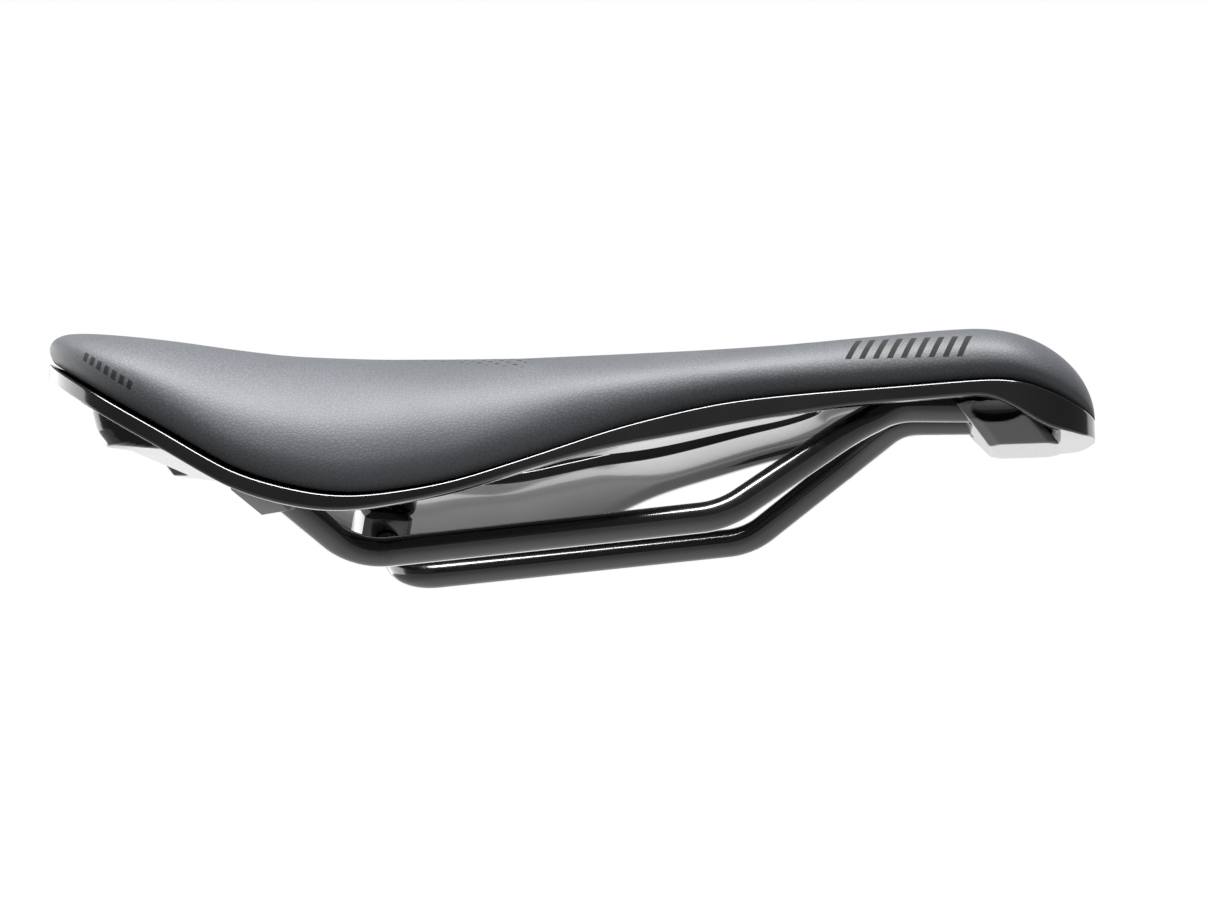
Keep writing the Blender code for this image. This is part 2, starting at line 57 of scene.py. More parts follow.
SHELL_INSET = 0.0002
EDGE_GAP = 0.0005
SHELL_WALL = 0.0024
SHELL_EDGE_ROUND = 0.0006
DOME_POWER = 3.0
SHELF = 0.0034
LIP, LIP_BLEND, LIP_STEP = 0.0026, 0.0030, 0.0012
SHELL_RISE = ((-0.104, 0.0), (-0.095, 0.0045), (-0.060, 0.0130), (-0.030, 0.0160), (0.000, 0.0095),
              (0.030, 0.0035), (0.060, 0.0030), (0.080, 0.0045), (0.095, 0.0062), (0.112, 0.0055),
              (0.127, 0.0))
UNDERSIDE_RISE = ((-0.104, 0.0), (-0.098, 0.0015), (-0.060, 0.0145), (-0.030, 0.0180), (0.000, 0.0100),
                  (0.014, 0.0052), (0.030, 0.0022), (0.060, 0.0022), (0.080, 0.0062), (0.095, 0.0078),
                  (0.110, 0.0072), (0.119, 0.0), (0.132, 0.0))
SLOT_REAR_X, SLOT_REAR_RADIUS = -0.042, 0.0130
SLOT_FRONT_X, SLOT_FRONT_RADIUS = 0.066, 0.0045
SHELL_SLOT_STEP = -0.0015     # on each side, the shell's slot is this much narrower than the cover's
SHELL_TOP_STEPS, SHELL_UNDER_STEPS, SHELL_WALL_STEPS = 22, 26, 3
SHELL_STATIONS = 104
ROUND_REAR_STEPS, ROUND_FRONT_STEPS = 8, 5    # round the ends of the slot
STATION_SPACING = 0.0007
MERGE_WITHIN = 0.000004


def curve_value(points, x):
    """Height at x of the smooth curve through the points, without overshoot between them."""
    if x <= points[0][0]:
        return points[0][1]
    if x >= points[-1][0]:
        return points[-1][1]
    rises = [(b[1] - a[1]) / (b[0] - a[0]) for a, b in zip(points, points[1:])]
    slopes = [rises[0]]
    for before, after in zip(rises, rises[1:]):
        slopes.append(2 * before * after / (before + after) if before * after > 0 else 0.0)
    slopes.append(rises[-1])
    i = max(k for k in range(len(points) - 1) if points[k][0] <= x)
    width = points[i + 1][0] - points[i][0]
    t = (x - points[i][0]) / width
    start, end = points[i][1], points[i + 1][1]
    return (start * (2 * t ** 3 - 3 * t ** 2 + 1) + end * (3 * t ** 2 - 2 * t ** 3)
            + width * slopes[i] * (t ** 3 - 2 * t ** 2 + t) + width * slopes[i + 1] * (t ** 3 - t ** 2))


def eased(points, x, reach=0.005):
    """The same curve, evened out over a few millimetres, so that gloss surfaces show no kinks."""
    reach = max(min(reach, x - points[0][0], points[-1][0] - x), 0.0)
    return sum(curve_value(points, x + reach * k / 3) for k in range(-3, 4)) / 7


def quarter_round(distance, length):
    t = min(max(distance / length, 0.0), 1.0)
    return math.sqrt(1.0 - (1.0 - t) ** 2)


def smooth_step(value, start, end):
    t = min(max((value - start) / (end - start), 0.0), 1.0)
    return t * t * (3 - 2 * t)


def half_width(x):
    corner = quarter_round(x - TAIL_X, TAIL_CORNER)
    at_tail = TAIL_HALF_WIDTH + (eased(HALF_WIDTHS, x) - TAIL_HALF_WIDTH) * corner
    return at_tail * quarter_round(NOSE_X - x, NOSE_ROUND)


def tail_scoop(x, y):
    across = math.cos(0.5 * math.pi * min(abs(y) / NOTCH_HALF_WIDTH, 1.0)) ** 2
    return NOTCH_DEPTH * across * (1.0 - smooth_step(x, TAIL_X, TAIL_X + NOTCH_FADE))


def shell_rise(x, y):
    reach = max(half_width(x) - SHELF, 0.001)
    return eased(SHELL_RISE, x) * max(1.0 - (abs(y) / reach) ** DOME_POWER, 0.0)


def slot_half_width(x, step):
    """Half the slot's width at x: two arcs and the straight line that touches both."""
    rear, front = SLOT_REAR_RADIUS + step, SLOT_FRONT_RADIUS + step
    tilt = math.asin((rear - front) / (SLOT_FRONT_X - SLOT_REAR_X))
    leave, meet = SLOT_REAR_X + rear * math.sin(tilt), SLOT_FRONT_X + front * math.sin(tilt)
    if x < leave:
        return math.sqrt(max(rear ** 2 - (x - SLOT_REAR_X) ** 2, 0.0))
    if x > meet:
        return math.sqrt(max(front ** 2 - (x - SLOT_FRONT_X) ** 2, 0.0))
    return math.cos(tilt) * (rear + (front - rear) * (x - leave) / (meet - leave))


def stations(inset, count, step):
    """Places along the length, closer together at both ends and round the ends of the slot."""
    length = LENGTH - 2 * inset
    rear, front = SLOT_REAR_RADIUS + step, SLOT_FRONT_RADIUS + step
    round_ends = [SLOT_REAR_X - rear * math.cos(0.5 * math.pi * k / ROUND_REAR_STEPS)
                  for k in range(ROUND_REAR_STEPS + 1)]
    round_ends += [SLOT_FRONT_X + front * math.cos(0.5 * math.pi * k / ROUND_FRONT_STEPS)
                   for k in range(ROUND_FRONT_STEPS + 1)]
    spread = [TAIL_X + inset + length * (0.5 - 0.5 * math.cos(math.pi * i / count)) ** 0.9
              for i in range(count + 1)]
    clear = [x for x in spread if min(abs(x - end) for end in round_ends) > STATION_SPACING]
    return sorted(clear + round_ends)


def deselect_all():
    bpy.ops.object.select_all(action="DESELECT")


def only_selected(piece):
    deselect_all()
    piece.select_set(True)
    bpy.context.view_layer.objects.active = piece


def apply_modifier(piece, kind, **settings):
    only_selected(piece)
    change = piece.modifiers.new(kind.lower(), kind)
    for name, value in settings.items():
        setattr(change, name, value)
    bpy.ops.object.modifier_apply(modifier=change.name)


def ringed_body(name, rings, fixed_columns=()):
    """A closed body from rings of points round its left half, from tail to nose, mirrored to the right.
    A ring runs along the top from the middle outwards, back below, and up the slot's wall to its start."""
    rows, columns = len(rings), len(rings[0])
    deselect_all()
    bpy.ops.mesh.primitive_grid_add(x_subdivisions=rows - 1, y_subdivisions=columns - 1, size=2.0)
    body = bpy.context.object
    body.name = name
    fixed = body.vertex_groups.new(name="fixed")
    for vert in body.data.vertices:
        i = round(0.5 * (vert.co.x + 1.0) * (rows - 1))
        j = round(0.5 * (vert.co.y + 1.0) * (columns - 1))
        vert.co = rings[i][j]
        if j in fixed_columns:
            fixed.add([vert.index], 1.0, "REPLACE")
    bpy.ops.object.mode_set(mode="EDIT")
    bpy.ops.mesh.select_all(action="SELECT")
    bpy.ops.mesh.remove_doubles(threshold=MERGE_WITHIN)
    bpy.ops.mesh.dissolve_degenerate(threshold=0.000002)
    bpy.ops.mesh.select_all(action="DESELECT")
    bpy.ops.object.mode_set(mode="OBJECT")
    for face in body.data.polygons:
        face.select = all(abs(body.data.vertices[k].co.y) < 0.000002 for k in face.vertices)
    bpy.ops.object.mode_set(mode="EDIT")
    bpy.ops.mesh.select_mode(type="FACE")
    bpy.ops.mesh.delete(type="FACE")
    bpy.ops.mesh.select_mode(type="VERT")
    bpy.ops.object.mode_set(mode="OBJECT")
    apply_modifier(body, "MIRROR", use_axis=(False, True, False), use_clip=True, merge_threshold=0.000005)
    bpy.ops.object.mode_set(mode="EDIT")
    bpy.ops.mesh.select_all(action="SELECT")
    bpy.ops.mesh.normals_make_consistent(inside=False)
    bpy.ops.object.mode_set(mode="OBJECT")
    return body


def shade_by_angle(piece, degrees):
    only_selected(piece)
    bpy.ops.object.shade_smooth_by_angle(angle=math.radians(degrees))


def shell_ring(x, collapse):
    """Points round the shell's left half at x; collapse draws its height in to close the tail end."""
    width = max(half_width(x) - SHELL_INSET, 0.0)
    rim = eased(RIM, x) - EDGE_GAP
    low = eased(RIM, x) - eased(FLANK, x)
    slot = min(slot_half_width(x, SHELL_SLOT_STEP), width)
    edge = min(SHELL_EDGE_ROUND, 0.25 * width, 0.3 * (rim - low))
    lip = min(LIP, 0.25 * width)
    blend = min(LIP + LIP_BLEND, 0.5 * width)
    ring = []
    for k in range(SHELL_TOP_STEPS + 1):
        y = slot + (width - edge - slot) * 0.5 * (1 - math.cos(math.pi * k / SHELL_TOP_STEPS))
        ring.append((y, rim + shell_rise(x, y)))
    corner = [(math.sin(math.radians(a)), math.cos(math.radians(a))) for a in (22, 45, 68, 90)]
    ring += [(width - edge + edge * s, rim - edge + edge * c) for s, c in corner]
    middle = 0.5 * (rim + low)
    ring.append((width, middle))
    ring += [(width - edge + edge * s, low + edge - edge * c) for s, c in reversed(corner)]
    for k in range(1, SHELL_UNDER_STEPS + 1):
        y = slot + (width - edge - slot) * 0.5 * (1 + math.cos(math.pi * k / SHELL_UNDER_STEPS))
        raised = low + eased(UNDERSIDE_RISE, x) * (1.0 - (y / max(width, 0.001)) ** DOME_POWER)
        raised += min(LIP_STEP, eased(UNDERSIDE_RISE, x))
        roof = max(min(raised, rim + shell_rise(x, y) - SHELL_WALL), low)
        step = smooth_step(width - lip - y, 0.0, max(blend - lip, 0.0001))
        ring.append((y, low + (roof - low) * step))
    foot, head = ring[-1], ring[0]
    ring += [(foot[0], foot[1] + (head[1] - foot[1]) * k / SHELL_WALL_STEPS)
             for k in range(1, SHELL_WALL_STEPS + 1)]
    ring = [(y, z + (middle - z) * collapse) for y, z in ring]
    return [(x + tail_scoop(x, y), y, z) for y, z in ring]


shell_places = stations(SHELL_INSET, SHELL_STATIONS, SHELL_SLOT_STEP)
shell = ringed_body("moulded_shell", [shell_ring(shell_places[0], 1.0)]
                    + [shell_ring(x, 0.0) for x in shell_places])
apply_modifier(shell, "SUBSURF", levels=1, render_levels=1)


class Line:
    """One value or colour on its way between two nodes; sums on it add Math nodes."""

    def __init__(self, finish, socket):
        self.finish, self.socket = finish, socket

    def maths(self, operation, first, second):
        return self.finish.node("ShaderNodeMath", {"operation": operation}, {0: first, 1: second})

    def __add__(self, other):
        return self.maths("ADD", self, other)

    def __sub__(self, other):
        return self.maths("SUBTRACT", self, other)

    def __rsub__(self, other):
        return self.maths("SUBTRACT", other, self)

    def __mul__(self, other):
        return self.maths("MULTIPLY", self, other)

    def __lt__(self, other):
        return self.maths("LESS_THAN", self, other)

    def __gt__(self, other):
        return self.maths("GREATER_THAN", self, other)

    __radd__, __rmul__ = __add__, __mul__


class Finish:
    """A material made of nodes round one Principled shader, with its unchanging values set on the shader."""

    def __init__(self, name, fixed):
        self.material = bpy.data.materials.new(name)
        self.material.use_nodes = True
        self.tree = self.material.node_tree
        self.shader = self.tree.nodes["Principled BSDF"]
        for socket, value in fixed.items():
            self.shader.inputs[socket].default_value = value

    def node(self, kind, settings=None, sockets=None, output=0):
        made = self.tree.nodes.new(kind)
        for name, value in (settings or {}).items():
            setattr(made, name, value)
        for name, value in (sockets or {}).items():
            if isinstance(value, Line):
                self.tree.links.new(value.socket, made.inputs[name])
            else:
                made.inputs[name].default_value = value
        return Line(self, made.outputs[output])

    def place(self):
        return self.node("ShaderNodeTexCoord", output=3)

    def parts_of(self, vector):
        return [self.node("ShaderNodeSeparateXYZ", sockets={0: vector}, output=k) for k in range(3)]

    def noise(self, vector, scale, detail=3.0, roughness=0.5):
        return self.node("ShaderNodeTexNoise", sockets={"Vector": vector, "Scale": scale, "Detail": detail,
                                                        "Roughness": roughness})

    def between(self, value, low, high, low_out=0.0, high_out=1.0):
        """A smooth change from low_out to high_out as the value goes from low to high."""
        return self.node("ShaderNodeMapRange", {"interpolation_type": "SMOOTHSTEP"},
                         {"Value": value, "From Min": low, "From Max": high,
                          "To Min": low_out, "To Max": high_out})

    def mixed(self, share, first, second):
        return self.node("ShaderNodeMix", {"data_type": "RGBA"}, {0: share, 6: first, 7: second}, output=2)

    def feed(self, **lines):
        for name, line in lines.items():
            self.tree.links.new(line.socket, self.shader.inputs[name.replace("_", " ")])

    def bump(self, height, strength, distance):
        relief = self.node("ShaderNodeBump", sockets={"Strength": strength, "Distance": distance,
                                                      "Height": height})
        self.tree.links.new(relief.socket, self.shader.inputs["Normal"])

    def put_on(self, piece):
        piece.data.materials.clear()
        piece.data.materials.append(self.material)


def gloss_plastic(name, colour, roughness, scuff):
    """Moulded gloss black plastic: a faint flow in its polish and fine dust-like scuffs."""
    finish = Finish(name, {"Specular IOR Level": 0.55, "Coat Roughness": 0.06})
    place = finish.place()
    flow = finish.noise(place, 28.0, 2.0)
    dust = finish.noise(place, 640.0, 5.0, 0.7)
    specks = finish.between(dust, 0.60, 0.74)
    paler = tuple(c * 1.8 for c in colour)
    finish.feed(Base_Color=finish.mixed(finish.between(flow, 0.3, 0.7), (*colour, 1.0), (*paler, 1.0)),
                Roughness=finish.between(flow, 0.3, 0.7, roughness, roughness + 0.06) + specks * scuff,
                Coat_Weight=finish.between(flow, 0.35, 0.65, 0.5, 0.7))
    finish.bump(finish.noise(place, 210.0, 2.0), 0.05, 0.0002)
    return finish


shell_plastic = gloss_plastic("shell_plastic", (0.004, 0.004, 0.004), 0.14, 0.10)


# ================================================================ padded cover
# A firm foam pad under a moulded skin of black synthetic leather, bonded together and pulled taut round the
# shell's edge. The skin is satin, finely grained, perforated beside the slot, and printed in matt black.

CREST = ((-0.108, 0.0518), (-0.080, 0.0486), (-0.040, 0.0449), (0.000, 0.0442), (0.040, 0.0451),
         (0.080, 0.0476), (0.104, 0.0488), (0.132, 0.0488))
TAIL_ROLL, NOSE_ROLL = 0.009, 0.028
ROLL_EDGE, TUCK = 0.0075, 0.0028
CROWN_POWER = 2.5
SLOT_LIP = 0.0052             # radius with which the padding rolls into the slot
PAD_CLEAR = 0.0004
FULLNESS_LIMIT = 0.0010       # most that a point of the skin may swell
SKIN_SLACK = 0.0006           # room left above the crest for the skin to swell
PAD_STATIONS = 112
PAD_TOP_STEPS, PAD_UNDER_STEPS, PAD_WALL_STEPS = 36, 16, 6
ROLL_SHARES = (0.86, 0.72, 0.58, 0.44, 0.30, 0.15, 0.0)   # heights down the rolled edge
FREE_ROLL_STEPS = 3           # below these the rolled edge is bonded down
CLOTH_FRAMES = 20


def crest_height(x):
    rim = eased(RIM, x)
    at_tail = rim + (eased(CREST, x) - SKIN_SLACK - rim) * quarter_round(x - TAIL_X, TAIL_ROLL)
    if x < NOSE_X - NOSE_ROLL:
        return at_tail
    tip = RIM[-1][1]
    return max(tip + (at_tail - tip) * quarter_round(NOSE_X - x, NOSE_ROLL), rim)


def slot_distance(x, y):
    """Distance from the slot's outline, negative inside it."""
    rise = SLOT_FRONT_X - SLOT_REAR_X
    lean = (SLOT_REAR_RADIUS - SLOT_FRONT_RADIUS) / rise
    upright = math.sqrt(1.0 - lean ** 2)
    out, along = abs(y), x - SLOT_REAR_X
    past = upright * along - lean * out
    if past < 0.0:
        return math.hypot(out, along) - SLOT_REAR_RADIUS
    if past > upright * rise:
        return math.hypot(out, along - rise) - SLOT_FRONT_RADIUS
    return upright * out + lean * along - SLOT_REAR_RADIUS


def lip_drop(x, y):
    near = SLOT_LIP - min(max(slot_distance(x, y), 0.0), SLOT_LIP)
    return SLOT_LIP - math.sqrt(SLOT_LIP ** 2 - near ** 2)


def pad_ring(x):
    width = max(half_width(x), 0.0)
    rim = eased(RIM, x)
    height = max(crest_height(x) - rim, 0.0)
    tuck = TUCK * min(height / 0.008, 1.0) * min(width / 0.010, 1.0)
    edge = min(ROLL_EDGE, 0.3 * height)
    slot = min(slot_half_width(x, 0.0), width)
    drop_share = min(height / 0.012, 1.0)
    ring = []
    for k in range(PAD_TOP_STEPS + 1):
        y = slot + (width - slot) * 0.5 * (1 - math.cos(math.pi * k / PAD_TOP_STEPS))
        arch = math.sqrt(max(1.0 - (y / max(width, 0.0001)) ** CROWN_POWER, 0.0))
        ring.append((y, rim + edge + (height - edge) * arch - lip_drop(x, y) * drop_share))
    for s in ROLL_SHARES:
        ring.append((width - tuck * (1 - s) ** 2, rim + edge * s))
    for k in range(1, PAD_UNDER_STEPS + 1):
        y = slot + (width - tuck - slot) * (1 - k / PAD_UNDER_STEPS)
        rise = shell_rise(x, y)
        ring.append((y, rim + rise + PAD_CLEAR * min(rise / 0.001, 1.0)))
    foot, head = ring[-1], ring[0]
    ring += [(foot[0], foot[1] + (head[1] - foot[1]) * k / PAD_WALL_STEPS)
             for k in range(1, PAD_WALL_STEPS + 1)]
    return [(x + tail_scoop(x, y), y, z) for y, z in ring]


first_bonded = PAD_TOP_STEPS + 1 + FREE_ROLL_STEPS
last_bonded = PAD_TOP_STEPS + len(ROLL_SHARES) + PAD_UNDER_STEPS + 1
cover = ringed_body("padded_cover", [pad_ring(x) for x in stations(0.0, PAD_STATIONS, 0.0)],
                    fixed_columns=range(first_bonded, last_bonded + 1))
at_rest = [vert.co.copy() for vert in cover.data.vertices]
only_selected(cover)
fullness = cover.modifiers.new("fullness", "CLOTH")
fullness.settings.quality = 6
fullness.settings.mass = 0.4
fullness.settings.tension_stiffness = 40.0
fullness.settings.compression_stiffness = 40.0
fullness.settings.shear_stiffness = 20.0
fullness.settings.bending_stiffness = 4.0
fullness.settings.use_pressure = True
fullness.settings.uniform_pressure_force = 4.0
fullness.settings.vertex_group_mass = "fixed"
fullness.settings.effector_weights.gravity = 0.0
for moment in range(1, CLOTH_FRAMES + 1):
    bpy.context.scene.frame_set(moment)
bpy.ops.object.modifier_apply(modifier=fullness.name)
bpy.context.scene.frame_set(1)
for vert, rest in zip(cover.data.vertices, at_rest):
    swell = vert.co - rest
    if swell.length > FULLNESS_LIMIT:
        swell *= FULLNESS_LIMIT / swell.length
    vert.co = rest + swell
apply_modifier(cover, "SUBSURF", levels=1, render_levels=1)
shade_by_angle(cover, 50)

SKIN_DEEP, SKIN_PALE = (0.050, 0.053, 0.060, 1.0), (0.060, 0.064, 0.072, 1.0)
# Painted shade: the creases between the grain's pebbles are painted darker than the skin.
CREASE_SHADE = (0.042, 0.044, 0.050, 1.0)
# Painted shade: the perforations are painted near black for the shade inside each hole.
HOLE_SHADE, PRINT_BLACK = (0.004, 0.004, 0.004, 1.0), (0.003, 0.003, 0.003, 1.0)
GRAIN_SCALE, FIBRE_SCALE, DRIFT_SCALE = 1150.0, 2600.0, 22.0

leather = Finish("synthetic_leather", {"Specular IOR Level": 0.45, "Sheen Weight": 0.06,
                                       "Sheen Roughness": 0.45})
place = leather.place()
along, across, up = leather.parts_of(place)
aside = leather.node("ShaderNodeMath", {"operation": "ABSOLUTE"}, {0: across})

# Fine grain: small flat pebbles with creases between them, and a slow change of tone over the skin.
pebbles = leather.node("ShaderNodeTexVoronoi", {"feature": "DISTANCE_TO_EDGE"},
                       {"Vector": place, "Scale": GRAIN_SCALE})
creases = leather.between(pebbles, 0.0, 0.22)
fibre = leather.noise(place, FIBRE_SCALE)
drift = leather.noise(place, DRIFT_SCALE)

# Perforations in two bands beside the slot, in staggered rows.
HOLE_PITCH, HOLE_RADIUS = 0.0030, 0.00055
BAND_INSIDE, BAND_OUTSIDE = 0.0185, 0.0335
BAND_REAR_X, BAND_FRONT_X = -0.0640, 0.0040
BAND_FADE = 0.0005
turn = leather.node("ShaderNodeMapping", sockets={"Vector": place, "Rotation": (0.0, 0.0, math.radians(45)),
                                                  "Scale": (1.0, 1.0, 0.0)})
lattice = leather.node("ShaderNodeTexVoronoi", {"feature": "F1", "voronoi_dimensions": "2D"},
                       {"Vector": turn, "Scale": 1.0 / HOLE_PITCH, "Randomness": 0.0})
hole = leather.between(lattice, 0.8 * HOLE_RADIUS / HOLE_PITCH, 1.3 * HOLE_RADIUS / HOLE_PITCH, 1.0, 0.0)
band_across = (leather.between(aside, BAND_INSIDE, BAND_INSIDE + BAND_FADE)
               * leather.between(aside, BAND_OUTSIDE, BAND_OUTSIDE + BAND_FADE, 1.0, 0.0))
band_along = (leather.between(along, BAND_REAR_X, BAND_REAR_X + BAND_FADE)
              * leather.between(along, BAND_FRONT_X, BAND_FRONT_X + BAND_FADE, 1.0, 0.0))
perforated = hole * band_across * band_along * (up > 0.030)

# Matt print: a row of plain slanted bars on both sides of the nose, and a short one by the tail.
NOSE_BAR_PITCH, NOSE_BAR_GAP, NOSE_BAR_LEAN = 0.0031, 0.56, 0.42
TAIL_BAR_PITCH, TAIL_BAR_GAP, TAIL_BAR_LEAN = 0.0024, 0.42, 0.35
TAIL_ROW_SLOPE = 0.62         # the row by the tail runs down along the cover's edge
NOSE_ROW_START, NOSE_ROW_END, NOSE_ROW_LOW, NOSE_ROW_HIGH = 0.0590, 0.0869, 0.0384, 0.0438
TAIL_ROW_START, TAIL_ROW_END, TAIL_ROW_LOW, TAIL_ROW_HIGH = -0.1007, -0.0841, -0.0184, -0.0162
lean = along - up * NOSE_BAR_LEAN
bars = leather.node("ShaderNodeMath", {"operation": "FRACT"}, {0: lean * (1.0 / NOSE_BAR_PITCH)})
nose_bars = ((bars > NOSE_BAR_GAP) * (lean > NOSE_ROW_START) * (lean < NOSE_ROW_END)
             * (up > NOSE_ROW_LOW) * (up < NOSE_ROW_HIGH) * (aside > 0.012))
tail_line = up + along * TAIL_ROW_SLOPE
short_lean = along - up * TAIL_BAR_LEAN
short_bars = leather.node("ShaderNodeMath", {"operation": "FRACT"}, {0: short_lean * (1.0 / TAIL_BAR_PITCH)})
tail_bars = ((short_bars > TAIL_BAR_GAP) * (short_lean > TAIL_ROW_START) * (short_lean < TAIL_ROW_END)
             * (tail_line > TAIL_ROW_LOW) * (tail_line < TAIL_ROW_HIGH) * (aside > 0.030))
printed = leather.node("ShaderNodeMath", {"operation": "MAXIMUM"}, {0: nose_bars, 1: tail_bars})

tone = leather.mixed(leather.between(drift, 0.3, 0.7), SKIN_DEEP, SKIN_PALE)
# Painted shade: the skin's colour is darkened in the grain's creases.
tone = leather.mixed(creases, CREASE_SHADE, tone)
# Painted shade: the perforations are painted near black for the shade in the holes, and the bump presses
# them in.
tone = leather.mixed(perforated, tone, HOLE_SHADE)
leather.feed(Base_Color=leather.mixed(printed, tone, PRINT_BLACK),
             Roughness=leather.between(drift, 0.3, 0.7, 0.50, 0.58) + fibre * 0.06 + printed * 0.34)
leather.bump(creases * 0.6 + fibre * 0.25 - perforated * 3.0 + printed * 0.4, 0.22, 0.00012)
leather.put_on(cover)
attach(cover, "root")
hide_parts("cover", "foam_pad")


# ================================================================ nose socket block
# The block that fills the shell's nose and takes the front ends of both rails. It is moulded in the same
# gloss plastic, soft at its edges, with an oval thumb dimple in each side, and pressed up into the shell.

def whole_copy(node, name):
    """A copy of a CAD node with its flat faces whole again."""
    piece = bpy.data.objects.new(name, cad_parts[node].data.copy())
    bpy.context.scene.collection.objects.link(piece)
    only_selected(piece)
    bpy.ops.mesh.customdata_custom_splitnormals_clear()
    bpy.ops.object.mode_set(mode="EDIT")
    bpy.ops.mesh.select_all(action="SELECT")
    bpy.ops.mesh.remove_doubles(threshold=0.00002)
    bpy.ops.mesh.dissolve_limited(angle_limit=math.radians(3))
    bpy.ops.object.mode_set(mode="OBJECT")
    return piece


def refined_copy(node, name, round_over, crease=28):
    """A whole copy of a CAD node with its edges rounded over."""
    piece = whole_copy(node, name)
    apply_modifier(piece, "BEVEL", width=round_over, segments=3, limit_method="ANGLE",
                   angle_limit=math.radians(crease))
    shade_by_angle(piece, 38)
    return piece


def cut_from(piece, cutter):
    apply_modifier(piece, "BOOLEAN", operation="DIFFERENCE", solver="EXACT", object=cutter)
    bpy.data.objects.remove(cutter)


DIMPLE_CENTRE = (0.1098, 0.0182, 0.0272)
DIMPLE_RADII = (0.0068, 0.0046, 0.0036)
BLOCK_GRID = 0.0003
SHELL_ROOM = 0.0003           # gap between the shell and the block

block_plastic = gloss_plastic("block_plastic", (0.005, 0.005, 0.005), 0.18, 0.12)
nose_block = whole_copy("nose_bridge", "nose_socket_block")
for side in (1, -1):
    deselect_all()
    bpy.ops.mesh.primitive_uv_sphere_add(segments=48, ring_count=24, radius=1.0)
    thumb = bpy.context.object
    centre = (DIMPLE_CENTRE[0], side * DIMPLE_CENTRE[1], DIMPLE_CENTRE[2])
    for vert in thumb.data.vertices:
        vert.co = [c + v * r for c, v, r in zip(centre, vert.co, DIMPLE_RADII)]
    cut_from(nose_block, thumb)
apply_modifier(nose_block, "REMESH", mode="VOXEL", voxel_size=BLOCK_GRID)
apply_modifier(nose_block, "SMOOTH", factor=0.5, iterations=10)
shade_by_angle(nose_block, 60)
block_plastic.put_on(nose_block)
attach(nose_block, "root")
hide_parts("nose_bridge")

shell_room = whole_copy("nose_bridge", "room_for_block")
apply_modifier(shell_room, "DISPLACE", strength=SHELL_ROOM, mid_level=0.0)
cut_from(shell, shell_room)
shade_by_angle(shell, 40)
shell_plastic.put_on(shell)
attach(shell, "root")
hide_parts("base_shell")


# ================================================================ rear rail sockets
# Two small moulded blocks under the shell's wings that hold the rear ends of the rails. They are square
# with rounded edges, and cut to the shell's curve on top.

for word in ("left", "right"):
    socket = refined_copy("rear_socket_" + word, "rear_socket_block_" + word, 0.0006)
    block_plastic.put_on(socket)
    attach(socket, "root")
    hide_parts("rear_socket_" + word)


# ================================================================ rails
# Two bent round bars, 7 mm thick, painted gloss black. They run from the rear sockets down to the straight
# clamp stretch, then up and inwards to lie side by side in the nose block.

RAIL_RADIUS = 0.0035
ARC_STEPS = 14
CLAMP_RISE = math.tan(math.radians(4.6))
RAIL_CORNERS = (((-0.0537, 0.0455, 0.0126), 0.0),
                ((-0.0380, 0.0220, -0.0380 * CLAMP_RISE), 0.013),
                ((0.0485, 0.0220, 0.0485 * CLAMP_RISE), 0.018),
                ((0.0770, 0.0150, 0.0240), 0.030),
                ((0.0868, 0.0088, 0.0300), 0.012),
                ((0.1100, 0.0078, 0.0292), 0.0))


def rail_centreline(side):
    """Points along the straight runs, with an arc of the given radius at each corner."""
    corners = [(Vector((x, y * side, z)), radius) for (x, y, z), radius in RAIL_CORNERS]
    points = [corners[0][0]]
    for (before, _), (corner, radius), (after, _) in zip(corners, corners[1:], corners[2:]):
        back, ahead = (before - corner).normalized(), (after - corner).normalized()
        half_angle = 0.5 * back.angle(ahead)
        start = corner + back * radius / math.tan(half_angle)
        centre = corner + (back + ahead).normalized() * radius / math.sin(half_angle)
        axis = (start - centre).cross(ahead).normalized()
        sweep = math.pi - 2 * half_angle
        for k in range(ARC_STEPS + 1):
            points.append(centre + Matrix.Rotation(sweep * k / ARC_STEPS, 3, axis) @ (start - centre))
    return points + [corners[-1][0]]


PAINT_BLACK, PAINT_RUBBED = (0.004, 0.004, 0.004, 1.0), (0.009, 0.009, 0.010, 1.0)

paint = Finish("rail_paint", {"Metallic": 0.0, "Specular IOR Level": 0.5, "Coat Roughness": 0.04})
place = paint.place()
orange_peel = paint.noise(place, 420.0, 2.0)
rubbed = paint.between(paint.noise(place, 90.0, 4.0, 0.6), 0.58, 0.75)
paint.feed(Base_Color=paint.mixed(rubbed, PAINT_BLACK, PAINT_RUBBED),
           Roughness=paint.between(orange_peel, 0.3, 0.7, 0.16, 0.22) + rubbed * 0.12,
           Coat_Weight=paint.between(rubbed, 0.0, 1.0, 0.8, 0.4))
paint.bump(orange_peel, 0.06, 0.0001)

for side, word in ((1, "left"), (-1, "right")):
    route = bpy.data.curves.new("rail_route_" + word, "CURVE")
    route.dimensions = "3D"
    route.bevel_depth = RAIL_RADIUS
    route.bevel_resolution = 6
    route.use_fill_caps = True
    line = route.splines.new("POLY")
    points = rail_centreline(side)
    line.points.add(len(points) - 1)
    for spot, point in zip(line.points, points):
        spot.co = (*point, 1.0)
    rail = bpy.data.objects.new("rail_tube_" + word, route)
    bpy.context.scene.collection.objects.link(rail)
    only_selected(rail)
    bpy.ops.object.convert(target="MESH")
    rail = bpy.context.object
    shade_by_angle(rail, 40)
    paint.put_on(rail)
    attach(rail, "root")
    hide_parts("rail_" + word)


# ================================================================ tail mount, inserts and screws
# A moulded block under the tail with two brass threaded inserts for an accessory bracket. Two black
# button-head screws close the inserts while nothing is fitted.

CHEEK_IN, CHEEK_OUT = 0.0195, 0.0260          # the rounded cheek's inner and outer distance from the middle
CHEEK_REAR = ((0.0248, -0.1015), (0.0286, -0.1046), (0.0330, -0.1060), (0.0400, -0.1062))
CHEEK_REACH = 0.012           # how far ahead of the rear face the rounding fades out
MOUNT_GRID = 0.0004

